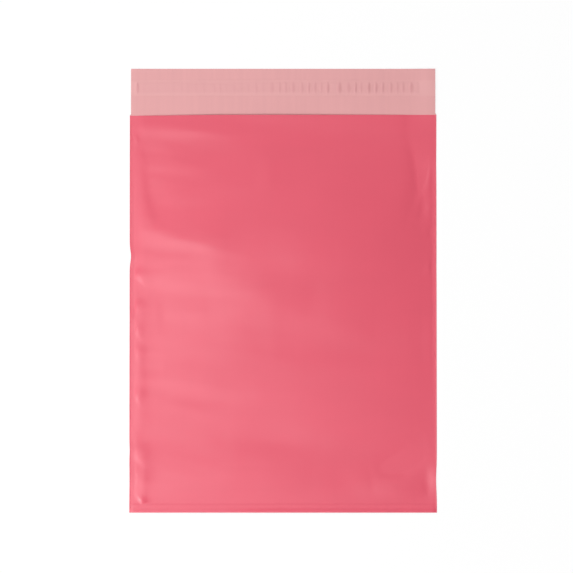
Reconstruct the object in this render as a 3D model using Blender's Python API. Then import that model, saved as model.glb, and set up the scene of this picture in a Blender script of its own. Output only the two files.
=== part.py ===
"""A poly mailer bag lying on its back: one folded web of film, its adhesive strip and the liner on it.

The web is folded at the bottom and welded along both sides, so that it makes a pocket. The back film runs on
past the mouth as the closing flap. The pocket holds a little air, so the front film stands in a low billow
with soft folds, and its mouth gapes. Metres, +Z up, +Y towards the flap, origin under the middle of the bag.
"""

import math

import bmesh
import bpy
from mathutils import Vector

# The web of film
BAG_WIDTH = 0.254
POCKET_LENGTH = 0.329
FLAP_LENGTH = 0.0383
FLAP_INSET = 0.0009
FLAP_NECK = 0.001
FILM = 0.00007
SIDE_WELD = 0.0035
BOTTOM_CREASE = 0.0045

# The air in the pocket. The mouth gapes most at a place left of its middle, and droops to both sides of it.
BILLOW = 0.0070
MOUTH_GAPE = 0.0060
MOUTH_PEAK = -0.2
MOUTH_DROOP = 0.3
SIDE_SHOULDER = 2.3
BOTTOM_SHOULDER = 1.6
BOTTOM_RAMP = 0.45
MOUTH_RAMP = 0.30

# Folds die away towards the welds and the crease, and along their own length towards both ends
SIDE_FADE = 0.08
BOTTOM_FADE = 0.04
FOLD_END_SHARE = 0.35
LEAST_RISE = 0.04

# The strip of hot-melt glue on the flap, and the film that covers it until the bag is closed
ADHESIVE_WIDTH = 0.008
ADHESIVE_THICKNESS = 0.0001
ADHESIVE_FROM_EDGE = 0.016
ADHESIVE_LEFT_STOP = 0.0045
ADHESIVE_RIGHT_STOP = 0.015
LINER_WIDTH = 0.013
LINER_THICKNESS = 0.00005
RIPPLE_PITCH = 0.0066
RIPPLE_HEIGHT = 0.0005
SEAT_GAP = 0.0003

# How finely the film and the liner are faceted
FILM_COLUMNS = 36
FILM_ROWS = 58
STEPS_PER_RIPPLE = 4

# The folds of the front film: name, route, half width on the lower and on the upper side, and height. The
# widths and heights are in metres, and a hollow has a negative height. A route's points are (across, along):
# across runs from -1 at the left weld to 1 at the right one, and along from 0 at the bottom crease to 1 at the
# mouth. The upper side is on the left hand of someone who walks the route.
FOLDS = (
    ("mouth_roll", ((-0.98, 0.966), (-0.65, 0.962), (-0.32, 0.950)), 0.006, 0.010, 0.0009),
    ("mouth_hollow", ((-0.05, 0.945), (0.20, 0.952), (0.45, 0.954), (0.75, 0.952)), 0.008, 0.016, -0.0010),
    ("crown_swell", ((-0.18, 0.850), (-0.02, 0.845)), 0.012, 0.016, 0.0004),
    ("left_hollow", ((-0.90, 0.890), (-0.880, 0.800), (-0.83, 0.735), (-0.70, 0.712)), 0.006, 0.016, -0.0008),
    ("left_roll", ((-1.00, 0.716), (-0.85, 0.696), (-0.68, 0.684), (-0.28, 0.648)), 0.009, 0.020, 0.0014),
    ("left_swell", ((-0.60, 0.645), (-0.35, 0.645)), 0.018, 0.020, 0.0004),
    ("upper_swell", ((-0.10, 0.645), (0.35, 0.640)), 0.010, 0.018, 0.0005),
    ("middle_roll", ((-0.98, 0.615), (-0.80, 0.605), (-0.50, 0.593), (-0.22, 0.575)), 0.014, 0.020, 0.0010),
    ("middle_crease", ((-0.96, 0.575), (-0.85, 0.548), (-0.35, 0.53), (-0.15, 0.515)), 0.006, 0.006, -0.0002),
    ("left_pleat", ((-0.80, 0.530), (-0.80, 0.450)), 0.004, 0.008, -0.0003),
    ("middle_swell", ((-0.50, 0.505), (-0.20, 0.517), (0.02, 0.510), (0.18, 0.495)), 0.014, 0.032, 0.0014),
    ("right_swell", ((0.22, 0.462), (0.42, 0.452), (0.62, 0.450)), 0.009, 0.020, 0.0007),
    ("right_hollow", ((-0.08, 0.405), (0.25, 0.402), (0.55, 0.405), (0.85, 0.420)), 0.009, 0.026, -0.0013),
    ("low_hollow", ((-0.97, 0.345), (-0.80, 0.345)), 0.008, 0.014, -0.0003),
    ("low_roll", ((-0.95, 0.325), (-0.78, 0.322), (-0.50, 0.312), (-0.22, 0.300)), 0.009, 0.016, 0.0005),
    ("low_crease", ((-0.75, 0.275), (-0.50, 0.262), (-0.25, 0.270)), 0.006, 0.008, -0.0005),
    ("bottom_dip", ((-0.40, 0.165), (-0.10, 0.165), (0.20, 0.160)), 0.009, 0.016, -0.0010),
    ("corner_roll", ((-0.92, 0.075), (-0.75, 0.090), (-0.45, 0.095)), 0.012, 0.020, 0.0014),
    ("bottom_roll", ((-0.80, 0.040), (-0.60, 0.068), (-0.20, 0.073), (0.35, 0.042)), 0.009, 0.024, 0.0022),
    ("right_corner_dip", ((0.62, 0.085), (0.78, 0.100), (0.90, 0.135)), 0.008, 0.012, -0.0010),
    ("right_corner_roll", ((0.58, 0.045), (0.75, 0.062), (0.90, 0.075)), 0.010, 0.010, 0.0010),
    ("right_mouth_hollow", ((0.865, 1.000), (0.890, 0.930), (0.905, 0.820)), 0.004, 0.014, -0.0012),
    ("right_pucker", ((0.84, 0.745), (1.00, 0.840)), 0.004, 0.006, -0.0005),
)

FILM_COLOUR = (0.80, 0.135, 0.175, 1.0)
LINER_COLOUR = (0.62, 0.36, 0.36, 1.0)
ADHESIVE_COLOUR = (0.70, 0.45, 0.40, 1.0)

BAG_LENGTH = POCKET_LENGTH + FLAP_LENGTH
BOTTOM_Y = -BAG_LENGTH / 2
MOUTH_Y = BOTTOM_Y + POCKET_LENGTH
FLAP_END_Y = BAG_LENGTH / 2
LEFT_X = -BAG_WIDTH / 2
RIGHT_X = BAG_WIDTH / 2
FLAP_LEFT_X = LEFT_X + FLAP_INSET
FLAP_RIGHT_X = RIGHT_X - FLAP_INSET
INNER_HALF = BAG_WIDTH / 2 - SIDE_WELD
INNER_LENGTH = POCKET_LENGTH - BOTTOM_CREASE
ADHESIVE_Y = FLAP_END_Y - ADHESIVE_FROM_EDGE


def smooth(share):
    """0 below 0, 1 above 1 and an S curve between."""
    share = min(1.0, max(0.0, share))
    return share * share * (3 - 2 * share)


def near_route(route, across, along):
    """How far a place on the panel is from a route, how far along the route it is, and on which side.

    The first is in metres and the second a share. The side runs from -1 on the right hand to 1 on the left.
    """
    spot = Vector((across * INNER_HALF, along * INNER_LENGTH))
    points = [Vector((a * INNER_HALF, b * INNER_LENGTH)) for a, b in route]
    nearest, place, side, travelled = math.inf, 0.0, 0.0, 0.0
    for start, end in zip(points, points[1:]):
        way = end - start
        share = min(1.0, max(0.0, (spot - start).dot(way) / way.length_squared))
        offset = spot - start - share * way
        if offset.length < nearest:
            nearest, place = offset.length, travelled + share * way.length
            side = way.normalized().cross(offset.normalized())
        travelled += way.length
    return nearest, place / travelled, side


def fold_height(across, along):
    """What the folds add to the billow at a place on the front film."""
    total = 0.0
    for _, route, lower_half, upper_half, height in FOLDS:
        away, place, side = near_route(route, across, along)
        half_width = lower_half + (upper_half - lower_half) * (side + 1) / 2
        swell = FOLD_END_SHARE + (1 - FOLD_END_SHARE) * math.sin(math.pi * place)
        total += height * swell * math.exp(-((away / half_width) ** 2))
    return total


def rise(across, along):
    """How far the front film stands off the back film, which is nothing at the welds and at the crease."""
    shoulder = 1 - abs(across) ** SIDE_SHOULDER
    ramp = 1 - max(0.0, 1 - along / BOTTOM_RAMP) ** BOTTOM_SHOULDER
    droop = 1 - MOUTH_DROOP * (across - MOUTH_PEAK) ** 2
    to_mouth = smooth((along - 1 + MOUTH_RAMP) / MOUTH_RAMP)
    crown = BILLOW + (MOUTH_GAPE * droop - BILLOW) * to_mouth
    billow = crown * shoulder * ramp
    fade = smooth((1 - abs(across)) / SIDE_FADE) * smooth(along / BOTTOM_FADE)
    return max(LEAST_RISE * billow, billow + fade * fold_height(across, along))


def columns():
    """The places across the panel, from -1 to 1, closer together towards the welds."""
    evenly = [2 * i / FILM_COLUMNS - 1 for i in range(FILM_COLUMNS + 1)]
    return [(e + math.sin(math.pi / 2 * e)) / 2 for e in evenly]


def rows():
    """The places along the panel, from 0 at the crease to 1 at the mouth, closer together at the crease."""
    evenly = [j / FILM_ROWS for j in range(FILM_ROWS + 1)]
    return [(e + e * e) / 2 for e in evenly]


def film_xs():
    """Where the columns of points stand, with the bag's two edges."""
    return [LEFT_X, *(a * INNER_HALF for a in columns()), RIGHT_X]


def quads(bm, grid):
    """Faces that look up between neighbouring rows of a grid of points, whose rows run left to right."""
    for low, high in zip(grid, grid[1:]):
        for i in range(len(low) - 1):
            bm.faces.new((low[i], low[i + 1], high[i + 1], high[i]))


def front_film(bm):
    """Rows of points of the front film: its outer face with the welds and the crease, and its inner face."""
    outer = [[bm.verts.new((x, BOTTOM_Y, 2 * FILM)) for x in film_xs()]]
    inner = []
    for along in rows():
        y = BOTTOM_Y + BOTTOM_CREASE + along * INNER_LENGTH
        roof = [(a * INNER_HALF, y, FILM + rise(a, along)) for a in columns()]
        skin = [(LEFT_X, y, 2 * FILM), *((x, y, z + FILM) for x, y, z in roof), (RIGHT_X, y, 2 * FILM)]
        inner.append([bm.verts.new(point) for point in roof])
        outer.append([bm.verts.new(point) for point in skin])
    quads(bm, outer)
    quads(bm, [row[::-1] for row in inner])
    return outer, inner


def flap_pairs(bm, z):
    """Left and right points of the flap at one height: at the mouth, past its neck and at its end."""
    places = (
        (LEFT_X, RIGHT_X, MOUTH_Y),
        (FLAP_LEFT_X, FLAP_RIGHT_X, MOUTH_Y + FLAP_NECK),
        (FLAP_LEFT_X, FLAP_RIGHT_X, FLAP_END_Y),
    )
    return [[bm.verts.new((x, y, z)) for x in (left, right)] for left, right, y in places]


def back_film(bm, outer, inner):
    """The back film and its flap: the underside, the pocket's floor and the flap's top."""
    bottom = [bm.verts.new((point.co.x, point.co.y, 0)) for point in outer[0]]
    under = [[bm.verts.new((row[i].co.x, row[i].co.y, 0)) for i in (0, -1)] for row in outer[1:-1]]
    flap_under = flap_pairs(bm, 0)
    flap_top = flap_pairs(bm, FILM)
    floor = [[row[0], row[-1]] for row in inner[1:]]
    bm.faces.new([*bottom[::-1], *under[0]])
    quads(bm, [row[::-1] for row in [*under, *flap_under]])
    bm.faces.new([*inner[0], *floor[0][::-1]])
    quads(bm, floor)
    bm.faces.new([flap_top[0][0], *floor[-1], flap_top[0][1], *flap_top[1][::-1]])
    quads(bm, flap_top[1:])
    return [bottom, *under, flap_under[0]], flap_under, flap_top


def cut_edges(bm, outer, inner, under, flap_under, flap_top):
    """The cut edges all round the web, and the front film's edge at the mouth."""
    quads(bm, [under[0], outer[0]])
    for side, turn in ((0, 1), (-1, -1)):
        edges = [(low[side], high[side]) for low, high in zip(under, outer)]
        for (low, high), (next_low, next_high) in zip(edges, edges[1:-1]):
            bm.faces.new((low, high, next_high, next_low)[::turn])
        (low, high), (last_low, last_high) = edges[-2:]
        bm.faces.new((low, high, last_high, flap_top[0][side], last_low)[::turn])
        flap_edges = [(low[side], high[side]) for low, high in zip(flap_under, flap_top)]
        for (low, high), (next_low, next_high) in zip(flap_edges, flap_edges[1:]):
            bm.faces.new((low, high, next_high, next_low)[::turn])
    quads(bm, [flap_top[-1], flap_under[-1]])
    quads(bm, [outer[-1], [flap_top[0][0], *inner[-1], flap_top[0][1]]])


def film_bag():
    """The pocket and its flap as one web of film."""
    bm = bmesh.new()
    outer, inner = front_film(bm)
    cut_edges(bm, outer, inner, *back_film(bm, outer, inner))
    bmesh.ops.triangulate(bm, faces=bm.faces)
    return finished("film_bag", bm, FILM_COLOUR, roughness=0.32)


def adhesive_strip():
    """A flat bead of hot-melt glue along the inside of the flap."""
    left = FLAP_LEFT_X + ADHESIVE_LEFT_STOP
    right = FLAP_RIGHT_X - ADHESIVE_RIGHT_STOP
    bm = bmesh.new()
    bmesh.ops.create_cube(bm, size=1)
    bmesh.ops.scale(bm, verts=bm.verts, vec=(right - left, ADHESIVE_WIDTH, ADHESIVE_THICKNESS))
    middle = FILM + SEAT_GAP + ADHESIVE_THICKNESS / 2
    bmesh.ops.translate(bm, verts=bm.verts, vec=((left + right) / 2, ADHESIVE_Y, middle))
    return finished("adhesive_strip", bm, ADHESIVE_COLOUR, roughness=0.45)


def ripple(x, y):
    """The liner's height over its seat: ripples along the glue, which die away towards its two edges."""
    strength = 0.6 + 0.4 * x / FLAP_RIGHT_X
    from_middle = (y - ADHESIVE_Y) / (LINER_WIDTH / 2)
    wave = 0.5 + 0.5 * math.cos(2 * math.pi * (x - FLAP_LEFT_X) / RIPPLE_PITCH)
    return RIPPLE_HEIGHT * strength * wave * (1 - from_middle**2)


def release_liner():
    """The peel-off strip of film on the glue."""
    seat = FILM + SEAT_GAP + ADHESIVE_THICKNESS + SEAT_GAP
    length = FLAP_RIGHT_X - FLAP_LEFT_X
    steps = round(length / RIPPLE_PITCH * STEPS_PER_RIPPLE)
    xs = [FLAP_LEFT_X + length * i / steps for i in range(steps + 1)]
    ys = [ADHESIVE_Y + LINER_WIDTH * share for share in (-0.5, 0, 0.5)]
    bm = bmesh.new()
    low, high = (
        [[bm.verts.new((x, y, seat + ripple(x, y) + lift)) for x in xs] for y in ys]
        for lift in (0, LINER_THICKNESS)
    )
    quads(bm, high)
    quads(bm, [row[::-1] for row in low])
    quads(bm, [low[0], high[0]])
    quads(bm, [high[-1], low[-1]])
    quads(bm, [[row[0] for row in high], [row[0] for row in low]])
    quads(bm, [[row[-1] for row in low], [row[-1] for row in high]])
    bmesh.ops.triangulate(bm, faces=bm.faces)
    return finished("release_liner", bm, LINER_COLOUR, roughness=0.4)


def finished(name, bm, colour, roughness):
    """The mesh as an object with its material, smooth apart from its cut edges."""
    mesh = bpy.data.meshes.new(name)
    bm.to_mesh(mesh)
    bm.free()
    mesh.shade_smooth()
    mesh.set_sharp_from_angle(angle=math.radians(40))
    material = bpy.data.materials.new(name)
    material.use_nodes = True
    shader = material.node_tree.nodes["Principled BSDF"]
    shader.inputs["Base Color"].default_value = colour
    shader.inputs["Roughness"].default_value = roughness
    mesh.materials.append(material)
    obj = bpy.data.objects.new(name, mesh)
    bpy.context.scene.collection.objects.link(obj)
    return obj


def main():
    for obj in list(bpy.data.objects):
        bpy.data.objects.remove(obj)
    film_bag()
    adhesive_strip()
    release_liner()


main()
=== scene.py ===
"""Looks of the poly mailer bag: its folded and welded film, the glue line and its liner, and the stage."""

import math

import bmesh
import bpy
import numpy as np
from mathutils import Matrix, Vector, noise


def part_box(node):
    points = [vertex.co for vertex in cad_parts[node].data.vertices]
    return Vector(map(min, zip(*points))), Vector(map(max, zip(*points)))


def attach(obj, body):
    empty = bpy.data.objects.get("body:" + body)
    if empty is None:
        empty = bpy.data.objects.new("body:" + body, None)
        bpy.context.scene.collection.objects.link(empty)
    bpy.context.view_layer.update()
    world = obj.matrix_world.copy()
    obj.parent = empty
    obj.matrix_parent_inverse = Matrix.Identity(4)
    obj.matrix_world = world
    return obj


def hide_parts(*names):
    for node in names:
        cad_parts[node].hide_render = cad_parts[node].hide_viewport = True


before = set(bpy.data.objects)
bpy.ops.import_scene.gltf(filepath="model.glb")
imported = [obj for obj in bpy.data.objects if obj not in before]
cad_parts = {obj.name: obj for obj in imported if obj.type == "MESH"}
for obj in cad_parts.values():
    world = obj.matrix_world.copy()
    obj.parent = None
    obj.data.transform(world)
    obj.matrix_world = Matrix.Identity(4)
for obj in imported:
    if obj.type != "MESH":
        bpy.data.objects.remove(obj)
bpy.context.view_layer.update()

bl_info = {
    "name": "Poly mailer bag",
    "version": (1, 0, 0),
    "blender": (4, 5, 0),
    "location": "3D View > Sidebar > Mailer",
    "description": "Dresses the bag's film, glue line and liner, and lights them on a white table",
    "category": "Mesh",
}

FILM_LOW, FILM_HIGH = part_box("film_bag")
GLUE_LOW, GLUE_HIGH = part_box("adhesive_strip")
LINER_LOW, LINER_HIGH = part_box("release_liner")
LEFT_X, RIGHT_X = FILM_LOW.x, FILM_HIGH.x
BOTTOM_Y, FLAP_END_Y = FILM_LOW.y, FILM_HIGH.y
BAG_WIDTH = RIGHT_X - LEFT_X
STRIP_Y = (LINER_LOW.y + LINER_HIGH.y) / 2

# Broad folds of the front film: name, route, half width on its lower and on its upper side, and height, in
# metres. A hollow has a negative height. A route's points are (across, along): across runs from -1 at the
# left weld to 1 at the right one, and along from 0 at the bottom crease to 1 at the mouth. The upper side is
# on the left hand of someone who walks the route.
FOLDS = (
    ("mouth_roll", ((-0.98, 0.966), (-0.65, 0.962), (-0.32, 0.950)), 0.006, 0.010, 0.0009),
    ("mouth_hollow", ((-0.05, 0.934), (0.20, 0.940), (0.45, 0.940), (0.80, 0.936)), 0.014, 0.012, -0.0009),
    ("crown_swell", ((-0.18, 0.850), (-0.02, 0.845)), 0.012, 0.016, 0.0004),
    ("left_hollow", ((-0.90, 0.890), (-0.88, 0.800), (-0.83, 0.735), (-0.70, 0.712)), 0.006, 0.016, -0.0006),
    ("left_roll", ((-1.00, 0.716), (-0.85, 0.696), (-0.68, 0.684), (-0.28, 0.648)), 0.009, 0.020, 0.0014),
    ("left_swell", ((-0.60, 0.645), (-0.35, 0.645)), 0.018, 0.020, 0.0004),
    ("upper_swell", ((-0.10, 0.645), (0.35, 0.640)), 0.010, 0.018, 0.0005),
    ("middle_roll", ((-0.98, 0.615), (-0.80, 0.605), (-0.50, 0.593), (-0.22, 0.575)), 0.014, 0.020, 0.0008),
    ("middle_crease", ((-0.96, 0.575), (-0.85, 0.548), (-0.35, 0.53), (-0.15, 0.515)), 0.006, 0.006, -0.0002),
    ("left_pleat", ((-0.80, 0.530), (-0.80, 0.450)), 0.004, 0.008, -0.0003),
    ("middle_swell", ((-0.50, 0.505), (-0.20, 0.517), (0.02, 0.510), (0.18, 0.495)), 0.014, 0.032, 0.0014),
    ("right_swell", ((0.22, 0.462), (0.42, 0.452), (0.62, 0.450)), 0.009, 0.020, 0.0007),
    ("right_hollow", ((-0.08, 0.405), (0.25, 0.402), (0.55, 0.405), (0.85, 0.420)), 0.014, 0.026, -0.0012),
    ("low_hollow", ((-0.97, 0.345), (-0.80, 0.345)), 0.008, 0.014, -0.0003),
    ("low_roll", ((-0.95, 0.325), (-0.78, 0.322), (-0.50, 0.312), (-0.22, 0.300)), 0.009, 0.016, 0.0005),
    ("low_crease", ((-0.75, 0.275), (-0.50, 0.262), (-0.25, 0.270)), 0.006, 0.008, -0.0005),
    ("bottom_dip", ((-0.35, 0.165), (-0.10, 0.165), (0.20, 0.160)), 0.009, 0.016, -0.0007),
    ("corner_hollow", ((-0.85, 0.165), (-0.60, 0.160), (-0.30, 0.145)), 0.020, 0.020, -0.0005),
    ("bottom_roll", ((-0.97, 0.050), (-0.62, 0.072), (-0.20, 0.084), (0.20, 0.078)), 0.020, 0.022, 0.0018),
    ("right_corner_dip", ((0.62, 0.085), (0.78, 0.100), (0.90, 0.135)), 0.008, 0.012, -0.0010),
    ("right_corner_roll", ((0.60, 0.030), (0.80, 0.036), (0.97, 0.050)), 0.008, 0.014, 0.0010),
    ("right_mouth_hollow", ((0.885, 1), (0.91, 0.93), (0.925, 0.84), (0.865, 0.735)), 0.008, 0.013, -0.0011),
    ("right_pucker", ((0.91, 0.735), (1.00, 0.790)), 0.004, 0.006, -0.0005),
)

# Small creases, puckers and ticks by the welds, in the same form
CREASES = (
    ("left_pucker_high", ((-1.00, 0.603), (-0.93, 0.570)), 0.0020, 0.0070, 0.0006),
    ("left_pucker_middle", ((-1.00, 0.525), (-0.965, 0.490)), 0.0020, 0.0070, 0.0006),
    ("left_pucker_low", ((-1.00, 0.470), (-0.955, 0.430)), 0.0020, 0.0070, 0.0006),
    ("left_pucker_foot", ((-1.00, 0.410), (-0.960, 0.375)), 0.0020, 0.0070, 0.0004),
    ("left_pucker_deep", ((-1.00, 0.300), (-0.960, 0.265)), 0.0020, 0.0070, 0.0006),
    ("left_edge_fold", ((-0.965, 0.435), (-0.960, 0.200)), 0.0030, 0.0050, 0.0002),
    ("left_curl_high", ((-1.00, 0.135), (-0.930, 0.108)), 0.0024, 0.0100, 0.0005),
    ("left_curl_low", ((-1.00, 0.095), (-0.965, 0.075), (-0.985, 0.050)), 0.0022, 0.0090, 0.0005),
    ("corner_crease", ((-0.970, 0.022), (-0.945, 0.010), (-0.935, 0.000)), 0.0012, 0.0040, 0.0008),
    ("left_tick", ((-1.00, 0.945), (-0.985, 0.930)), 0.0016, 0.0024, 0.0004),
    ("right_streak", ((0.995, 0.860), (0.860, 0.720)), 0.0026, 0.0050, 0.0003),
    ("right_notch", ((1.000, 0.622), (0.955, 0.600)), 0.0024, 0.0040, 0.0003),
    ("right_tick", ((1.000, 0.700), (0.980, 0.690)), 0.0020, 0.0024, -0.0003),
)

# Where the welds draw in or lift: side (-1 left, 1 right), height up the bag, half length, draw inwards,
# lift and reach into the bag, in metres
WELD_NOTCHES = (
    (-1, 0.2118, 0.0064, 0.0011, 0.0004, 0.012),
    (-1, 0.1600, 0.0070, 0.0001, 0.0004, 0.012),
    (-1, 0.0515, 0.0050, 0.0003, 0.0004, 0.012),
    (-1, 0.0280, 0.0110, 0.0002, 0.0007, 0.012),
    (1, 0.3550, 0.0280, 0.0000, 0.0016, 0.014),
    (1, 0.2900, 0.0120, 0.0002, 0.0006, 0.012),
    (1, 0.2030, 0.0080, 0.0001, 0.0003, 0.012),
    (1, 0.0275, 0.0120, 0.0007, 0.0013, 0.007),
)

# The share of its height that a fold keeps at the ends of its route, and a length that stands for none
END_SHARE = 0.35
TINY = 1e-9

# Distances between the film's columns of points: in the welds, in a zone beside them, and between the zones
EDGE_STEP = 0.0004
WELD_STEP = 0.0009
WELD_ZONE = 0.012
PANEL_STEP = 0.0020

# Distances between its rows: in a zone above the crease, up the panel, in a zone above the mouth and up the
# flap. The bottom crease has the edges' distance.
CREASE_STEP = 0.0006
CREASE_ZONE = 0.004
ROW_STEP = 0.0015
MOUTH_STEP = 0.0005
MOUTH_ZONE = 0.002
FLAP_STEP = 0.0018

# The flat back keeps each third column in the welds, each second one beside them and each sixth one between,
# and this many columns count as beside a weld
BACK_WELD, BACK_SIDE, BACK_MIDDLE = 3, 2, 6
BACK_SIDE_COLUMNS = 22

# The film's material slots
OUTSIDE, INSIDE = 0, 1

SHARP_ANGLE = math.radians(50)
LINER_THICKNESS = 0.00005

# How far the ribbon's ripples stray in pitch, how fine that noise is, and how fine the noise is that moves
# the ribbon's edges, with the layer that it is taken from
RIPPLE_STRAY = 6
STRAY_STRETCH = (45, 7, 1)
SWAY_STRETCH, SWAY_LAYER = (90, 7, 1), 1.5

# Where the ripples grow, as shares of the ribbon's length from its middle, the distances from the glue's left
# end between which they sink from full height, and the shares that chance and the thin end leave of one
GROWS_FROM, GROWS_TO = -0.45, 0.42
FIRST_FROM, FIRST_TO = 0.006, 0.003
LEAST_CHANCE = 0.3
LEAST_RIPPLE = 0.12

# How far the ripples reach, in half widths of the glue, and where the ribbon comes down: past the glue's
# ends, and from inside its long edges to outside them
RIPPLE_REACH = 1.45
END_SLOPE = 0.002
SLOPE_TOP, SLOPE_FOOT = 0.0010, 0.0022

# How much of the liner's darker colour is painted on a ripple as its shade, and how much of the glue's colour
# shows through on the flat
RIPPLE_SHADE, WET_FLAT = 0.54, 0.12

# The fewest points along a side of the ribbon
LEAST_POINTS = 3

# Lamps: name, which is also the setting of its power, size, place, and whether it looks at the bag or down
LAMPS = (
    ("softbox", (1.7, 2.2), (-0.98, -0.88, 2.0), False),
    ("fill", (1.2, 1.0), (-0.45, 1.4, 1.4), True),
    ("spot", (0.4, 0.4), (-1.10, -0.70, 1.15), True),
)

# The camera's sensor in millimetres, and the table: size, distance under the bag, colour and glow
SENSOR_WIDTH = 36
TABLE_SIZE = 12
TABLE_DROP = 0.0003
TABLE_WHITE = (0.95, 0.95, 0.95, 1)
TABLE_GLOW = 0.88


def length(name, description, default):
    """A size in metres that a user would change."""
    return bpy.props.FloatProperty(
        name=name, description=description, default=default, unit="LENGTH", precision=5
    )


def factor(name, description, default):
    """A plain share or strength that a user would change."""
    return bpy.props.FloatProperty(
        name=name, description=description, default=default, subtype="FACTOR"
    )


def power(name, description, default):
    """A lamp's power in watts."""
    return bpy.props.FloatProperty(name=name, description=description, default=default, unit="POWER")


def colour(name, description, default):
    """A colour that a user would change."""
    return bpy.props.FloatVectorProperty(
        name=name, description=description, default=default, size=3, min=0, max=1, subtype="COLOR"
    )


class FilmSettings(bpy.types.PropertyGroup):
    """Sizes and colours of the folded web of film."""

    pocket: length("Pocket", "Length of the pocket, from the bottom fold to the mouth", 0.329)
    film: length("Film", "Thickness of the film", 0.00007)
    side_weld: length("Side weld", "Width of the weld along each side", 0.0035)
    bottom_crease: length("Bottom crease", "Height of the crease over the bottom fold", 0.0060)
    flap_inset: length("Flap inset", "How much the flap is narrower than the pocket at each side", 0.0009)
    fold_roll: length("Fold roll", "Height of the springy roll of film at the bottom fold", 0.0005)
    mouth_skew: length("Mouth skew", "How much lower the mouth is cut at its left end", 0.0007)
    billow: length("Billow", "Height of the air in the pocket", 0.0077)
    mouth_gape: length("Mouth gape", "Height of the open mouth", 0.0014)
    left_curl: length("Left curl", "How far the puckered left weld stands up along its inner side", 0.0002)
    bead: length("Weld bead", "Height of the bead of molten film on each side edge", 0.00012)
    folds: factor("Folds", "Strength of the broad folds", 1.0)
    creases: factor("Creases", "Strength of the small creases by the welds", 1.0)
    ripples: length("Ripples", "Height of the fine unevenness all over", 0.00018)
    outside: colour("Outside", "Colour of the film's outer face", (0.735, 0.088, 0.140))
    inside: colour("Inside", "Colour of the film's inner face", (0.712, 0.341, 0.345))
    outside_roughness: factor("Outer roughness", "Roughness of the film's outer face", 0.36)
    inside_roughness: factor("Inner roughness", "Roughness of the film's inner face", 0.62)


class StripSettings(bpy.types.PropertyGroup):
    """Sizes and colours of the glue line and the liner on it."""

    pitch: length("Ripple pitch", "Distance from one ripple of the liner to the next", 0.0062)
    height: length("Ripple height", "Height of the liner's ripples", 0.00028)
    jitter: factor("Jitter", "How far the ripples stray from an even pitch", 0.38)
    seed: bpy.props.IntProperty(name="Seed", description="Which set of chance ripples is used", default=4)
    clearance: length("Clearance", "Gap between the strips and what they lie on", 0.00002)
    glue_height: length("Glue height", "Height of the glue line", 0.00016)
    glue: colour("Glue", "Colour of the hot-melt glue", (0.640, 0.300, 0.310))
    liner: colour("Liner", "Colour of the liner", (0.722, 0.355, 0.358))
    # The liner's darker colour: the glue showing through it on the flat, and painted shade on its ripples
    wet_and_shade: colour("Wet liner", "Colour of the liner where the glue shows through it", (0.600, 0.245, 0.256))


class StageSettings(bpy.types.PropertyGroup):
    """The lamps, the table and the camera."""

    world: factor("World", "Strength of the even light from all round", 0.305)
    softbox: power("Softbox", "Power of the broad softbox overhead, left of and below the bag", 35.5)
    fill: power("Fill", "Power of the soft lamp past the bag's flap", 11)
    spot: power("Spot", "Power of the small lamp that puts the sparks on the puckers", 9)
    field: length("Field", "Width of what the camera sees at the table", 0.4741)
    distance: length("Distance", "From the camera to the table", 2.0)
    tilt: bpy.props.FloatProperty(
        name="Tilt", description="How far the camera leans towards the bag's bottom end",
        default=math.radians(1.4), unit="ROTATION",
    )
    aim_x: length("Aim across", "Where the camera looks, across the bag", 0.0028)
    aim_y: length("Aim along", "Where the camera looks, along the bag", 0.0031)


def smooth(share):
    """0 below 0, 1 above 1 and an S curve between."""
    share = np.clip(share, 0, 1)
    return share * share * (3 - 2 * share)


def bell(distance, half_width):
    """1 at no distance, and a third of it at the half width."""
    return np.exp(-((distance / half_width) ** 2))


def fold_height(fold, to_metres, x, y):
    """What one fold adds at each place: a bell across its route, which is lower towards both of its ends."""
    _, route, low_side, high_side, height = fold
    points = [to_metres(*point) for point in route]
    nearest = np.full(x.shape, np.inf)
    place = np.zeros(x.shape)
    side = np.zeros(x.shape)
    travelled = 0.0
    for (px, py), (qx, qy) in zip(points, points[1:]):
        run = math.dist((px, py), (qx, qy))
        share = np.clip(((x - px) * (qx - px) + (y - py) * (qy - py)) / run**2, 0, 1)
        away = np.hypot(x - px - share * (qx - px), y - py - share * (qy - py))
        turn = ((qx - px) * (y - py) - (qy - py) * (x - px)) / (run * np.maximum(away, TINY))
        closer = away < nearest
        nearest = np.where(closer, away, nearest)
        place = np.where(closer, travelled + share * run, place)
        side = np.where(closer, np.clip(turn, -1, 1), side)
        travelled += run
    half_width = low_side + (high_side - low_side) * (side + 1) / 2
    swell = END_SHARE + (1 - END_SHARE) * np.sin(math.pi * place / travelled)
    return height * swell * bell(nearest, half_width)


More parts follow.
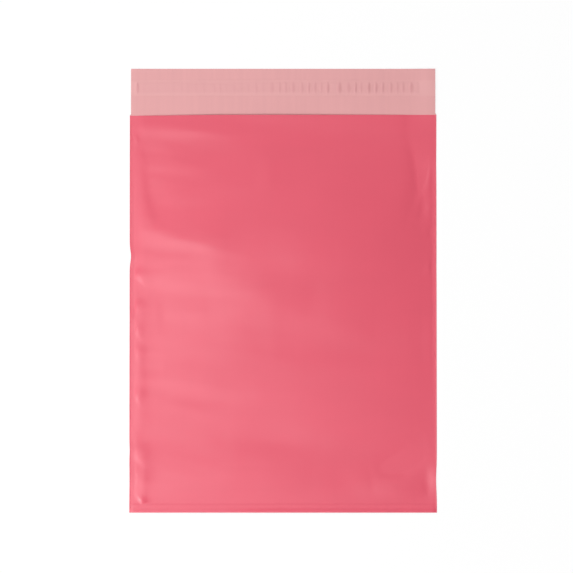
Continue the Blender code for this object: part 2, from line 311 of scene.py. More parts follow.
class FilmShape:
    """Heights of the film's faces over the table, at arrays of places x, y."""

    # Where across the mouth gapes most and how it droops beside that place, how full the billow is at its
    # sides, the shares of the pocket's length over which it rises, with a small lip first, and sinks to the
    # mouth, and the least of it that a hollow leaves
    MOUTH_PEAK = -0.2
    MOUTH_DROOP = 0.3
    SIDE_SHOULDER = 2.3
    LIP_SHARE = 0.06
    BOTTOM_LIP = 0.065
    BOTTOM_RAMP = 0.80
    MOUTH_RAMP = 0.36
    LEAST_RISE = 0.04

    # The shares of the pocket over which folds and creases fade towards the welds and the bottom
    SIDE_FADE = 0.08
    BOTTOM_FADE = 0.04
    CREASE_SIDE_FADE = 0.025
    CREASE_BOTTOM_FADE = 0.01

    # The fine waves: length across and along the bag, slice of the noise and strength; then their strength
    # in the middle of the bag, and how much less it is at the right edge
    WAVES = ((0.050, 0.013, 1.7, 1.0), (0.022, 0.007, 5.3, 0.5))
    WAVE_MIDDLE, WAVE_FALL = 0.75, 0.45

    # The left weld's curl: how far in it is highest, its half widths outwards and inwards as multiples of
    # that, and the length over which it starts at the bottom
    CURL_REACH = 0.006
    CURL_OUTER, CURL_INNER = 0.7, 1.8
    CURL_START = 0.02

    # The bead's middle and half width in from the edge, and the length over which it ends
    BEAD_INSET = 0.0004
    BEAD_HALF = 0.00035
    BEAD_END = 0.001

    # The bottom roll: how fast it rises, what share of it holds up to the crease and over what length that
    # ends, its crest's share at the left, where across that grows to the whole, the crest's place and half
    # width as multiples of the reach, and how far from the edges all of it fades
    ROLL_REACH = 0.0005
    ROLL_FLAT = 0.4
    ROLL_TAIL = 0.002
    ROLL_LEFT = 0.4
    ROLL_GROWS_X, ROLL_GROWS_OVER = -0.051, 0.030
    ROLL_CREST, ROLL_SPREAD = 2, 3.6
    ROLL_FADE = 0.004

    # Over what length the roof takes up the roll above the crease, over what length the outline steps in to
    # the flap, and where across the mouth's cut starts to skew and how far up and down that reaches
    ROOF_START = 0.002
    NECK = 0.0015
    SKEW_START = -2 / 7
    SKEW_REACH = 0.015

    def __init__(self, settings):
        self.s = settings
        self.inner_half = BAG_WIDTH / 2 - settings.side_weld
        self.crease_y = BOTTOM_Y + settings.bottom_crease
        self.mouth_y = BOTTOM_Y + settings.pocket
        self.inner_length = self.mouth_y - self.crease_y

    def to_metres(self, across, along):
        """A place on the panel between the welds, in metres."""
        return across * self.inner_half, self.crease_y + along * self.inner_length

    def routed(self, folds, x, y):
        """What a list of folds adds at each place."""
        return sum(fold_height(fold, self.to_metres, x, y) for fold in folds)

    def unevenness(self, x, y):
        """Slack film's fine waves, drawn out across the bag and stronger in its left half."""
        wave = np.array([
            sum(share * noise.noise((a / wide, b / long, cut)) for wide, long, cut, share in self.WAVES)
            for a, b in zip(x.ravel(), y.ravel())
        ]).reshape(x.shape)
        return self.s.ripples * wave * (self.WAVE_MIDDLE - self.WAVE_FALL * x / RIGHT_X)

    def gap(self, x, y):
        """The height of the pocket's air, which is nothing at the welds and at the crease."""
        across = np.clip(x / self.inner_half, -1, 1)
        along = np.clip((y - self.crease_y) / self.inner_length, 0, 1)
        shoulder = 1 - np.abs(across) ** self.SIDE_SHOULDER
        ramp = (1 - self.LIP_SHARE) * smooth(along / self.BOTTOM_RAMP)
        ramp += self.LIP_SHARE * smooth(along / self.BOTTOM_LIP)
        droop = 1 - self.MOUTH_DROOP * (across - self.MOUTH_PEAK) ** 2
        to_mouth = smooth((along - 1 + self.MOUTH_RAMP) / self.MOUTH_RAMP)
        billow = (self.s.billow + (self.s.mouth_gape * droop - self.s.billow) * to_mouth) * shoulder * ramp
        broad = smooth((1 - np.abs(across)) / self.SIDE_FADE) * smooth(along / self.BOTTOM_FADE)
        near = smooth((1 - np.abs(across)) / self.CREASE_SIDE_FADE) * smooth(along / self.CREASE_BOTTOM_FADE)
        folds = self.s.folds * broad * self.routed(FOLDS, x, y)
        creases = self.s.creases * near * self.routed(CREASES, x, y)
        fine = broad * self.unevenness(x, y)
        return np.maximum(self.LEAST_RISE * billow, billow + folds + creases + fine)

    def lift(self, x, y):
        """How far both films stand off the table together, by the puckered welds."""
        total = np.zeros(x.shape)
        for side, height_up, half, _, rise, reach in WELD_NOTCHES:
            inwards = RIGHT_X - side * x
            total += rise * bell(y - BOTTOM_Y - height_up, half) * bell(inwards, reach)
        past = x - LEFT_X - self.CURL_REACH
        half_width = np.where(past < 0, self.CURL_OUTER, self.CURL_INNER) * self.CURL_REACH
        curl = self.s.left_curl * bell(past, half_width) * smooth((y - BOTTOM_Y) / self.CURL_START)
        return self.s.creases * total + curl

    def bead(self, x, y):
        """The bead of molten film along the side edges, which ends at the mouth."""
        across = bell(RIGHT_X - np.abs(x) - self.BEAD_INSET, self.BEAD_HALF)
        return self.s.bead * across * smooth((self.mouth_y - y) / self.BEAD_END + 1)

    def roll(self, x, y, gap):
        """How far the springy bottom fold keeps the front film off the back, besides the pocket's air."""
        up = y - BOTTOM_Y
        tail = smooth(1 - (up - self.s.bottom_crease) / self.ROLL_TAIL)
        flat = self.ROLL_FLAT * (1 - np.exp(-up / self.ROLL_REACH)) * tail
        grown = smooth((x - self.ROLL_GROWS_X) / self.ROLL_GROWS_OVER)
        crest = self.ROLL_LEFT + (1 - self.ROLL_LEFT) * grown
        crest *= bell(up - self.ROLL_CREST * self.ROLL_REACH, self.ROLL_SPREAD * self.ROLL_REACH)
        fade = smooth((RIGHT_X - np.abs(x)) / self.ROLL_FADE)
        return np.hypot(gap, self.s.fold_roll * (flat + crest) * fade) - gap

    def placed(self, x, y):
        """Where a place of the flat bag ends up, seen from above."""
        inset = self.s.flap_inset * smooth((y - self.mouth_y) / self.NECK)
        moved = x * (1 - inset / (BAG_WIDTH / 2))
        for side, height_up, half, draw, _, reach in WELD_NOTCHES:
            inwards = RIGHT_X - side * x
            moved = moved - side * draw * bell(y - BOTTOM_Y - height_up, half) * bell(inwards, reach)
        leftwards = smooth((self.SKEW_START - x / RIGHT_X) / (self.SKEW_START + 1))
        return moved, y - self.s.mouth_skew * leftwards * bell(y - self.mouth_y, self.SKEW_REACH)


def spread(*stops):
    """Places from the first stop to the last, at about the step that each stop gives until the next."""
    places = []
    for (start, step), (end, _) in zip(stops, stops[1:]):
        count = max(1, round((end - start) / step))
        places += [start + (end - start) * i / count for i in range(count)]
    return np.array([*places, stops[-1][0]])


class FilmMesh:
    """Gathers the film's points and faces."""

    def __init__(self):
        self.points = []
        self.faces = []
        self.slots = []

    def grid(self, x, y, z):
        """Adds a grid of points, and gives their numbers."""
        first = len(self.points)
        self.points += np.stack([x, y, z], -1).reshape(-1, 3).tolist()
        return first + np.arange(x.size).reshape(x.shape)

    def panel(self, rows, slot):
        """Faces over rows of points that run left to right, looking up where the rows go up the bag."""
        low, high = rows[:-1], rows[1:]
        quads = np.stack([low[:, :-1], low[:, 1:], high[:, 1:], high[:, :-1]], -1).reshape(-1, 4)
        self.faces += quads.tolist()
        self.slots += [slot] * len(quads)

    def face(self, corners, slot):
        """One face."""
        self.faces.append([int(corner) for corner in corners])
        self.slots.append(slot)

    def sparse(self, rows, picks, slot, turn=1):
        """Faces over rows of a flat film, from picked columns; the outermost rows keep all their points."""
        last = len(rows) - 1
        for j in range(last):
            for a, b in zip(picks, picks[1:]):
                low = rows[j, a : b + 1] if j == 0 else rows[j, [a, b]]
                high = rows[j + 1, a : b + 1] if j + 1 == last else rows[j + 1, [a, b]]
                self.face([*low, *high[::-1]][::turn], slot)


def film_columns(inner):
    """Places across the film, and the numbers of those at the welds' inner sides and on the back."""
    left_half = spread(
        (-BAG_WIDTH / 2, EDGE_STEP), (-inner, WELD_STEP), (-inner + WELD_ZONE, PANEL_STEP), (0, 0)
    )
    xs = np.concatenate([left_half, -left_half[-2::-1]])
    last = len(xs) - 1
    left = int(np.argmin(np.abs(xs + inner)))
    right = last - left
    near, far = left + BACK_SIDE_COLUMNS, right - BACK_SIDE_COLUMNS
    picks = np.unique(np.r_[
        0:left:BACK_WELD, left:near:BACK_SIDE, near:far:BACK_MIDDLE, far:right:BACK_SIDE,
        right:last:BACK_WELD, last,
    ])
    return xs, left, right, picks


def film_mesh(shape):
    """The whole web: the front film, the back film with the flap, and the pocket between them."""
    s = shape.s
    xs, left, right, picks = film_columns(shape.inner_half)
    inner_picks = picks[(picks >= left) & (picks <= right)] - left
    pocket_ys = spread(
        (BOTTOM_Y, EDGE_STEP), (shape.crease_y, CREASE_STEP), (shape.crease_y + CREASE_ZONE, ROW_STEP),
        (shape.mouth_y, 0),
    )
    flap_ys = spread((shape.mouth_y, MOUTH_STEP), (shape.mouth_y + MOUTH_ZONE, FLAP_STEP), (FLAP_END_Y, 0))
    crease = int(np.argmin(np.abs(pocket_ys - shape.crease_y)))
    mesh = FilmMesh()

    flat_x, flat_y = np.meshgrid(xs, pocket_ys)
    lift = shape.lift(flat_x, flat_y)
    gap = shape.gap(flat_x, flat_y)
    px, py = shape.placed(flat_x, flat_y)
    roll = shape.roll(flat_x, flat_y, gap)
    front = mesh.grid(px, py, lift + gap + 2 * s.film + roll + shape.bead(flat_x, flat_y))
    inside = np.s_[crease:, left : right + 1]
    hollow = roll * smooth((flat_y - shape.crease_y) / shape.ROOF_START)
    roof = mesh.grid(px[inside], py[inside], (lift + gap + s.film + hollow)[inside])
    floor = mesh.grid(px[inside], py[inside], (lift + s.film)[inside])
    floor[0, :] = roof[0, :]
    floor[:, 0] = roof[:, 0]
    floor[:, -1] = roof[:, -1]

    all_ys = np.concatenate([pocket_ys, flap_ys[1:]])
    under_x, under_y = np.meshgrid(xs, all_ys)
    ux, uy = shape.placed(under_x, under_y)
    under = mesh.grid(ux, uy, shape.lift(under_x, under_y))
    flap_x, flap_y = np.meshgrid(xs, flap_ys)
    fx, fy = shape.placed(flap_x, flap_y)
    flap = mesh.grid(fx, fy, shape.lift(flap_x, flap_y) + s.film)
    flap[0, left : right + 1] = floor[-1, :]

    mesh.panel(front, OUTSIDE)
    mesh.panel(roof[:, ::-1], INSIDE)
    mesh.sparse(floor, inner_picks, INSIDE)
    mesh.sparse(under, picks, OUTSIDE, turn=-1)
    mesh.panel(flap, INSIDE)
    mesh.panel(np.stack([under[0], front[0]]), OUTSIDE)
    mesh.panel(np.stack([flap[-1], under[-1]]), INSIDE)
    lip = flap[0].copy()
    lip[left : right + 1] = roof[-1]
    mesh.panel(np.stack([front[-1], lip]), OUTSIDE)
    close_sides(mesh, front, under, flap)
    return mesh


def close_sides(mesh, front, under, flap):
    """The two side edges, with a corner face where the front film ends and the flap starts."""
    last = len(front) - 1
    for side, turn in ((0, 1), (-1, -1)):
        mesh.panel(np.stack([front[:last, side], under[:last, side]])[::turn], OUTSIDE)
        mesh.panel(np.stack([flap[:, side], under[last:, side]])[::turn], OUTSIDE)
        corner = [
            front[last - 1, side], front[last, side], flap[0, side], under[last, side], under[last - 1, side]
        ]
        mesh.face(corner[::turn], OUTSIDE)


def finished_mesh(name, points, faces, slots, materials):
    """A closed mesh as an object at the origin, without stray points, smooth apart from its cut edges."""
    data = bpy.data.meshes.new(name)
    data.from_pydata(points, [], faces)
    data.polygons.foreach_set("material_index", slots)
    for material in materials:
        data.materials.append(material)
    bm = bmesh.new()
    bm.from_mesh(data)
    loose = [v for v in bm.verts if not v.link_faces]
    bmesh.ops.delete(bm, geom=loose, context="VERTS")
    open_edges = [e for e in bm.edges if len(e.link_faces) != 2]
    if open_edges:
        raise RuntimeError(f"{name} has {len(open_edges)} open edges")
    bm.to_mesh(data)
    bm.free()
    data.shade_smooth()
    data.set_sharp_from_angle(angle=SHARP_ANGLE)
    obj = bpy.data.objects.new(name, data)
    bpy.context.scene.collection.objects.link(obj)
    return obj


def feed(tree, value, socket):
    """Sets a socket to a plain value, or links it to another node's output."""
    if isinstance(value, bpy.types.NodeSocket):
        tree.links.new(value, socket)
    else:
        socket.default_value = value


def calc(tree, operation, *values):
    """A Math node's result."""
    node = tree.nodes.new("ShaderNodeMath")
    node.operation = operation
    for value, socket in zip(values, node.inputs):
        feed(tree, value, socket)
    return node.outputs["Value"]


def s_curve(tree, value, low, high):
    """0 below the low end, 1 above the high one and an S curve between."""
    node = tree.nodes.new("ShaderNodeMapRange")
    node.interpolation_type = "SMOOTHSTEP"
    for socket, given in (("Value", value), ("From Min", low), ("From Max", high)):
        feed(tree, given, node.inputs[socket])
    return node.outputs["Result"]


def vector(tree, x, y, z):
    """A vector from its three parts."""
    node = tree.nodes.new("ShaderNodeCombineXYZ")
    for value, socket in zip((x, y, z), node.inputs):
        feed(tree, value, socket)
    return node.outputs["Vector"]


def grains(tree, where, scale, detail=2, stretch=(1, 1, 1)):
    """A noise between 0 and 1 over the places given, finer in the directions that are stretched."""
    node = tree.nodes.new("ShaderNodeTexNoise")
    node.inputs["Scale"].default_value = 1
    node.inputs["Detail"].default_value = detail
    scaled = tree.nodes.new("ShaderNodeVectorMath")
    scaled.operation = "MULTIPLY"
    feed(tree, where, scaled.inputs[0])
    scaled.inputs[1].default_value = [scale * share for share in stretch]
    tree.links.new(scaled.outputs["Vector"], node.inputs["Vector"])
    return node.outputs["Fac"]


# The film's grain: how fine its die lines, its clouds and its pebble are, along X, Y and Z
DIE_LINES = (260, 9, 9)
CLOUDS = (14, 38, 38)
PEBBLES = 1400
BUMP_STRENGTH = 0.5
ROUGHNESS_SPREAD = 0.1


def film_grain():
    """The group that gives every film its die lines, its cloudiness and its fine pebble, built once."""
    if "film grain" in bpy.data.node_groups:
        return bpy.data.node_groups["film grain"]
    group = bpy.data.node_groups.new("film grain", "ShaderNodeTree")
    for label, value in (("Lines", 0.05), ("Clouds", 0.05)):
        made = group.interface.new_socket(label, in_out="INPUT", socket_type="NodeSocketFloat")
        made.default_value = value
    for label in ("Tone", "Pebble"):
        group.interface.new_socket(label, in_out="OUTPUT", socket_type="NodeSocketFloat")
    given, result = group.nodes.new("NodeGroupInput"), group.nodes.new("NodeGroupOutput")
    where = group.nodes.new("ShaderNodeTexCoord").outputs["Object"]
    lines = calc(group, "SUBTRACT", grains(group, where, 1, 3, DIE_LINES), 0.5)
    clouds = calc(group, "SUBTRACT", grains(group, where, 1, 3, CLOUDS), 0.5)
    tone = calc(group, "MULTIPLY_ADD", lines, given.outputs["Lines"], 1)
    tone = calc(group, "MULTIPLY_ADD", clouds, given.outputs["Clouds"], tone)
    feed(group, tone, result.inputs["Tone"])
    feed(group, grains(group, where, PEBBLES), result.inputs["Pebble"])
    return group


def film_material(name, tint, roughness, lines, clouds, specular=0.5, pebble=0.00001, see_through_and_shade=None):
    """A film's finish: a tint with faint lines and a soft gloss. Its last argument, a colour and a mask's
    name, paints the glue that shows through and the ripples' painted shade.
    """
    material = bpy.data.materials.new(name)
    material.use_nodes = True
    tree = material.node_tree
    shader = tree.nodes["Principled BSDF"]
    shader.inputs["IOR"].default_value = 1.5
    shader.inputs["Specular IOR Level"].default_value = specular
    grain = tree.nodes.new("ShaderNodeGroup")
    grain.node_tree = film_grain()
    grain.inputs["Lines"].default_value = lines
    grain.inputs["Clouds"].default_value = clouds
    mix = tree.nodes.new("ShaderNodeMix")
    mix.data_type = "RGBA"
    sockets = {socket.identifier: socket for socket in mix.inputs}
    shown, under, over = sockets["Factor_Float"], sockets["A_Color"], sockets["B_Color"]
    shown.default_value = 0
    under.default_value = over.default_value = (*tint, 1)
    # The mask lays the darker colour where the glue shows through on the flat and, as painted shade, on the
    # ripples
    if see_through_and_shade:
        mask = tree.nodes.new("ShaderNodeAttribute")
        mask.attribute_name = see_through_and_shade[1]
        over.default_value = (*see_through_and_shade[0], 1)
        tree.links.new(mask.outputs["Fac"], shown)
    toned = tree.nodes.new("ShaderNodeVectorMath")
    toned.operation = "SCALE"
    mixed = next(socket for socket in mix.outputs if socket.identifier == "Result_Color")
    tree.links.new(mixed, toned.inputs[0])
    tree.links.new(grain.outputs["Tone"], toned.inputs["Scale"])
    tree.links.new(toned.outputs["Vector"], shader.inputs["Base Color"])
    rough = tree.nodes.new("ShaderNodeMapRange")
    rough.inputs["To Min"].default_value = roughness * (1 - ROUGHNESS_SPREAD)
    rough.inputs["To Max"].default_value = roughness * (1 + ROUGHNESS_SPREAD)
    tree.links.new(grain.outputs["Pebble"], rough.inputs["Value"])
    tree.links.new(rough.outputs["Result"], shader.inputs["Roughness"])
    bump = tree.nodes.new("ShaderNodeBump")
    bump.inputs["Strength"].default_value = BUMP_STRENGTH
    bump.inputs["Distance"].default_value = pebble
    tree.links.new(grain.outputs["Pebble"], bump.inputs["Height"])
    tree.links.new(bump.outputs["Normal"], shader.inputs["Normal"])
    return material


# The ribbon tree's inputs and what they are when a strip doesn't set them
RIBBON_SIZES = {
    "Length": 0.25, "Width": 0.013, "Thickness": 0.00005, "Step": 0.0006,
    "Pitch": 0.006, "Height": 0.0004, "Jitter": 0.5, "Wobble": 0.0001, "Drop": 0.0,
    "Bed Left": -0.12, "Bed Right": 0.11, "Bed Half Width": 0.004,
}


def ribbon_ripples(tree, given, x, y):
    """How high the ripples stand, and how far up on its bed the ribbon is, both from 0 to 1."""
    left, right, seed = given["Bed Left"], given["Bed Right"], given["Seed"]
    stray = calc(tree, "SUBTRACT", grains(tree, vector(tree, x, seed, 0), 1, 1, STRAY_STRETCH), 0.5)
    turns = calc(tree, "DIVIDE", calc(tree, "SUBTRACT", x, left), given["Pitch"])
    turns = calc(tree, "MULTIPLY_ADD", calc(tree, "MULTIPLY", stray, RIPPLE_STRAY), given["Jitter"], turns)
    wave = calc(tree, "COSINE", calc(tree, "MULTIPLY", turns, math.tau))
    chance = tree.nodes.new("ShaderNodeTexWhiteNoise")
    chance.noise_dimensions = "2D"
    feed(tree, vector(tree, calc(tree, "ROUND", turns), seed, 0), chance.inputs["Vector"])
    luck = calc(tree, "MULTIPLY_ADD", chance.outputs["Value"], 1 - LEAST_CHANCE, LEAST_CHANCE)
    grows = s_curve(tree, calc(tree, "DIVIDE", x, given["Length"]), GROWS_FROM, GROWS_TO)
    first = s_curve(tree, x, calc(tree, "ADD", left, FIRST_FROM), calc(tree, "ADD", left, FIRST_TO))
    grows = calc(tree, "MAXIMUM", grows, first)
    size = calc(tree, "MULTIPLY", luck, calc(tree, "MULTIPLY_ADD", grows, 1 - LEAST_RIPPLE, LEAST_RIPPLE))

    off_middle = calc(tree, "DIVIDE", y, calc(tree, "MULTIPLY", given["Bed Half Width"], RIPPLE_REACH))
    lens = calc(tree, "SUBTRACT", wave, calc(tree, "MULTIPLY", off_middle, off_middle))
    left_end = s_curve(tree, x, calc(tree, "SUBTRACT", left, END_SLOPE), left)
    right_end = s_curve(tree, x, calc(tree, "ADD", right, END_SLOPE), right)
    ends = calc(tree, "MULTIPLY", left_end, right_end)
    ripple = calc(tree, "MULTIPLY", calc(tree, "MULTIPLY", calc(tree, "MAXIMUM", lens, 0), size), ends)
    foot = calc(tree, "ADD", given["Bed Half Width"], SLOPE_FOOT)
    top = calc(tree, "SUBTRACT", given["Bed Half Width"], SLOPE_TOP)
    on_bed = calc(tree, "MULTIPLY", s_curve(tree, calc(tree, "ABSOLUTE", y), foot, top), ends)
    return ripple, on_bed


def ribbon_tree():
    """Geometry nodes for a thin strip along X, which ripples over its bed and comes down beside it."""
    tree = bpy.data.node_groups.new("ribbon", "GeometryNodeTree")
    for label, value in RIBBON_SIZES.items():
        made = tree.interface.new_socket(label, in_out="INPUT", socket_type="NodeSocketFloat")
        made.default_value = value
    for label, kind in (("Seed", "Int"), ("Place", "Vector"), ("Material", "Material")):
        tree.interface.new_socket(label, in_out="INPUT", socket_type="NodeSocket" + kind)
    tree.interface.new_socket("Geometry", in_out="OUTPUT", socket_type="NodeSocketGeometry")
    given, result = tree.nodes.new("NodeGroupInput").outputs, tree.nodes.new("NodeGroupOutput")
    where = tree.nodes.new("ShaderNodeSeparateXYZ")
    feed(tree, tree.nodes.new("GeometryNodeInputPosition").outputs["Position"], where.inputs["Vector"])
    x, y = where.outputs["X"], where.outputs["Y"]
    ripple, on_bed = ribbon_ripples(tree, given, x, y)
    rise = calc(tree, "MULTIPLY", calc(tree, "SUBTRACT", on_bed, 1), given["Drop"])
    rise = calc(tree, "MULTIPLY_ADD", ripple, given["Height"], rise)
    layer = vector(tree, x, given["Seed"], SWAY_LAYER)
    stray = calc(tree, "SUBTRACT", grains(tree, layer, 1, 1, SWAY_STRETCH), 0.5)
    sway = calc(tree, "MULTIPLY", stray, calc(tree, "MULTIPLY", given["Wobble"], 2))

    box = tree.nodes.new("GeometryNodeMeshCube")
    feed(tree, vector(tree, given["Length"], given["Width"], given["Thickness"]), box.inputs["Size"])
    for axis, side in (("Vertices X", "Length"), ("Vertices Y", "Width")):
        count = calc(tree, "ROUND", calc(tree, "DIVIDE", given[side], given["Step"]))
        feed(tree, calc(tree, "MAXIMUM", count, LEAST_POINTS), box.inputs[axis])
    # A mask for the liner's darker colour: the glue that shows through on the flat, and painted shade on each
    # ripple
    mark = tree.nodes.new("GeometryNodeStoreNamedAttribute")
    feed(tree, box.outputs["Mesh"], mark.inputs["Geometry"])
    mark.inputs["Name"].default_value = "wet_and_shade"
    wet_and_shade = calc(tree, "MULTIPLY_ADD", ripple, RIPPLE_SHADE, calc(tree, "MULTIPLY", on_bed, WET_FLAT))
    feed(tree, wet_and_shade, mark.inputs["Value"])
    bend = tree.nodes.new("GeometryNodeSetPosition")
    feed(tree, mark.outputs["Geometry"], bend.inputs["Geometry"])
    feed(tree, vector(tree, 0, sway, rise), bend.inputs["Offset"])
    move = tree.nodes.new("GeometryNodeTransform")
    feed(tree, bend.outputs["Geometry"], move.inputs["Geometry"])
    feed(tree, given["Place"], move.inputs["Translation"])
    real = tree.nodes.new("GeometryNodeRealizeInstances")
    feed(tree, move.outputs["Geometry"], real.inputs["Geometry"])
    dress = tree.nodes.new("GeometryNodeSetMaterial")
    feed(tree, real.outputs["Geometry"], dress.inputs["Geometry"])
    feed(tree, given["Material"], dress.inputs["Material"])
    feed(tree, dress.outputs["Geometry"], result.inputs["Geometry"])
    return tree


def ribbon(name, **values):
    """A strip made by the ribbon tree and turned into a plain mesh, with its socket values given by name."""
    tree = bpy.data.node_groups.get("ribbon") or ribbon_tree()
    source = bpy.data.objects.new(name + ".source", bpy.data.meshes.new(name + ".source"))
    bpy.context.scene.collection.objects.link(source)
    modifier = source.modifiers.new("ribbon", "NODES")
    modifier.node_group = tree
    for item in tree.interface.items_tree:
        key = item.name.lower().replace(" ", "_")
        if item.in_out == "INPUT" and key in values:
            modifier[item.identifier] = values[key]
    graph = bpy.context.evaluated_depsgraph_get()
    mesh = bpy.data.meshes.new_from_object(source.evaluated_get(graph), depsgraph=graph)
    bpy.data.objects.remove(source)
    mesh.name = name
    mesh.shade_smooth()
    mesh.set_sharp_from_angle(angle=SHARP_ANGLE)
    obj = bpy.data.objects.new(name, mesh)
    bpy.context.scene.collection.objects.link(obj)
    return obj


def lay_on_film(obj):
    """Lifts a strip with the film where the film stands off the table."""
    shape = FilmShape(bpy.context.scene.mailer_film)
    places = np.empty(len(obj.data.vertices) * 3)
    obj.data.vertices.foreach_get("co", places)
    places = places.reshape(-1, 3)
    places[:, 2] += shape.lift(places[:, 0], places[:, 1])
    obj.data.vertices.foreach_set("co", places.ravel())
    obj.data.update()


class MAILER_OT_film_bag(bpy.types.Operator):
    """Makes the film bag: the folded and welded web with its flap"""

    bl_idname = "mailer.film_bag"
    bl_label = "Film bag"

    def execute(self, context):
        s = context.scene.mailer_film
        outside = film_material(
            "film_outside", s.outside, s.outside_roughness, lines=0.02, clouds=0.06, specular=0.67
        )
        inside = film_material("film_inside", s.inside, s.inside_roughness, lines=0.07, clouds=0.04)
        mesh = film_mesh(FilmShape(s))
        bag = finished_mesh("mailer_film", mesh.points, mesh.faces, mesh.slots, [outside, inside])
        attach(bag, "root")
        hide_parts("film_bag")
        return {"FINISHED"}


class MAILER_OT_adhesive_strip(bpy.types.Operator):
    """Makes the line of hot-melt glue on the flap"""

    bl_idname = "mailer.adhesive_strip"
    bl_label = "Adhesive strip"

    def execute(self, context):
        s = context.scene.mailer_strip
        size, middle = GLUE_HIGH - GLUE_LOW, (GLUE_HIGH + GLUE_LOW) / 2
        low = context.scene.mailer_film.film + s.clearance
        high = low + s.glue_height
        material = film_material("hot_melt_glue", s.glue, 0.3, lines=0, clouds=0.1, pebble=0.00006)
        glue = ribbon(
            "glue_line", length=size.x, width=size.y, thickness=s.glue_height, step=0.0012,
            pitch=0.004, height=0.00001, wobble=0.0004, seed=s.seed + 1,
            bed_left=-size.x / 2, bed_right=size.x / 2, bed_half_width=size.y / 2,
            place=(middle.x, middle.y, (low + high) / 2), material=material,
        )
        lay_on_film(glue)
        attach(glue, "root")
        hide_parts("adhesive_strip")
        return {"FINISHED"}


class MAILER_OT_release_liner(bpy.types.Operator):
    """Makes the peel-off liner that ripples over the glue"""

    bl_idname = "mailer.release_liner"
    bl_label = "Release liner"

    def execute(self, context):
        s = context.scene.mailer_strip
        size, middle_x = LINER_HIGH - LINER_LOW, (LINER_LOW.x + LINER_HIGH.x) / 2
        bed = context.scene.mailer_film.film + s.glue_height + 3 * s.clearance
        # The darker colour shows the glue through the liner and paints shade on its ripples
        material = film_material("liner_film", s.liner, 0.5, lines=0.03, clouds=0.03, see_through_and_shade=(s.wet_and_shade, "wet_and_shade"))
        liner = ribbon(
            "peel_off_liner", length=size.x, width=size.y, thickness=LINER_THICKNESS, step=0.0006,
            pitch=s.pitch, height=s.height, jitter=s.jitter, drop=s.glue_height, seed=s.seed,
            bed_left=GLUE_LOW.x - middle_x, bed_right=GLUE_HIGH.x - middle_x,
            bed_half_width=(GLUE_HIGH.y - GLUE_LOW.y) / 2,
            place=(middle_x, STRIP_Y, bed + LINER_THICKNESS / 2), material=material,
        )
        lay_on_film(liner)
        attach(liner, "root")
        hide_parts("release_liner")
        return {"FINISHED"}


def area_lamp(name, watts, size, place, aimed):
    """A rectangular soft lamp, which looks at the bag or straight down."""
    data = bpy.data.lights.new(name, "AREA")
    data.shape = "RECTANGLE"
    data.energy = watts
    data.size, data.size_y = size
    lamp = bpy.data.objects.new(name, data)
    lamp.location = place
    if aimed:
        lamp.rotation_euler = (-lamp.location).to_track_quat("-Z", "Y").to_euler()
    bpy.context.scene.collection.objects.link(lamp)


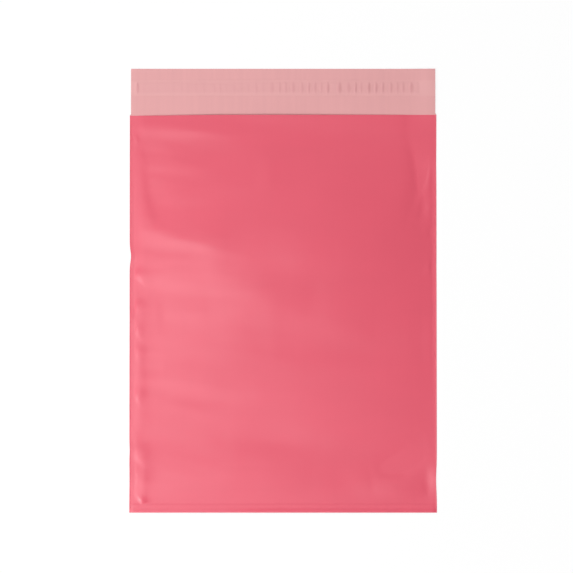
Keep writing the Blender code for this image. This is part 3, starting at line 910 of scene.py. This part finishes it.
class MAILER_OT_stage(bpy.types.Operator):
    """Makes the white table, the soft light and the camera straight above"""

    bl_idname = "mailer.stage"
    bl_label = "Stage"

    def execute(self, context):
        scene, s = context.scene, context.scene.mailer_stage
        scene.view_settings.view_transform = "Standard"
        world = bpy.data.worlds.new("studio")
        world.use_nodes = True
        world.node_tree.nodes["Background"].inputs["Strength"].default_value = s.world
        world.node_tree.nodes["Background"].inputs["Color"].default_value = (1, 1, 1, 1)
        scene.world = world
        for name, size, place, aimed in LAMPS:
            area_lamp(name, getattr(s, name), size, place, aimed)
        camera_data = bpy.data.cameras.new("camera")
        camera_data.sensor_width = SENSOR_WIDTH
        camera_data.lens = camera_data.sensor_width * s.distance / s.field
        camera = bpy.data.objects.new("camera", camera_data)
        camera.location = (s.aim_x, s.aim_y - s.distance * math.sin(s.tilt), s.distance * math.cos(s.tilt))
        camera.rotation_euler = (s.tilt, 0, 0)
        scene.collection.objects.link(camera)
        scene.camera = camera
        self.table()
        return {"FINISHED"}

    def table(self):
        """A wide white table top just under the bag."""
        bpy.ops.mesh.primitive_plane_add(size=TABLE_SIZE, location=(0, 0, -TABLE_DROP))
        table = bpy.context.object
        table.name = "table_top"
        material = bpy.data.materials.new("table_white")
        material.use_nodes = True
        nodes, links = material.node_tree.nodes, material.node_tree.links
        nodes["Principled BSDF"].inputs["Base Color"].default_value = TABLE_WHITE
        nodes["Principled BSDF"].inputs["Roughness"].default_value = 0.9
        glow = nodes.new("ShaderNodeEmission")
        rays = nodes.new("ShaderNodeLightPath")
        seen = nodes.new("ShaderNodeMath")
        seen.operation = "MULTIPLY"
        seen.inputs[1].default_value = TABLE_GLOW
        mix = nodes.new("ShaderNodeMixShader")
        links.new(rays.outputs["Is Camera Ray"], seen.inputs[0])
        links.new(seen.outputs["Value"], mix.inputs["Fac"])
        links.new(nodes["Principled BSDF"].outputs["BSDF"], mix.inputs[1])
        links.new(glow.outputs["Emission"], mix.inputs[2])
        links.new(mix.outputs["Shader"], nodes["Material Output"].inputs["Surface"])
        table.data.materials.append(material)


class MAILER_PT_panel(bpy.types.Panel):
    """Lists the bag's pieces and their settings"""

    bl_label = "Poly mailer bag"
    bl_idname = "MAILER_PT_panel"
    bl_space_type = "VIEW_3D"
    bl_region_type = "UI"
    bl_category = "Mailer"

    def draw(self, context):
        for operator in OPERATORS:
            self.layout.operator(operator.bl_idname)
        for name, group in SETTINGS.items():
            box = self.layout.box()
            for prop in group.__annotations__:
                box.prop(getattr(context.scene, name), prop)


SETTINGS = {"mailer_film": FilmSettings, "mailer_strip": StripSettings, "mailer_stage": StageSettings}
OPERATORS = (MAILER_OT_stage, MAILER_OT_film_bag, MAILER_OT_adhesive_strip, MAILER_OT_release_liner)


def register():
    for item in (*SETTINGS.values(), *OPERATORS, MAILER_PT_panel):
        bpy.utils.register_class(item)
    for name, group in SETTINGS.items():
        setattr(bpy.types.Scene, name, bpy.props.PointerProperty(type=group))


def unregister():
    for name in SETTINGS:
        delattr(bpy.types.Scene, name)
    for item in (MAILER_PT_panel, *reversed(OPERATORS), *SETTINGS.values()):
        bpy.utils.unregister_class(item)


def main():
    register()
    bpy.ops.mailer.stage()
    bpy.ops.mailer.film_bag()
    bpy.ops.mailer.adhesive_strip()
    bpy.ops.mailer.release_liner()


if __name__ == "__main__":
    main()
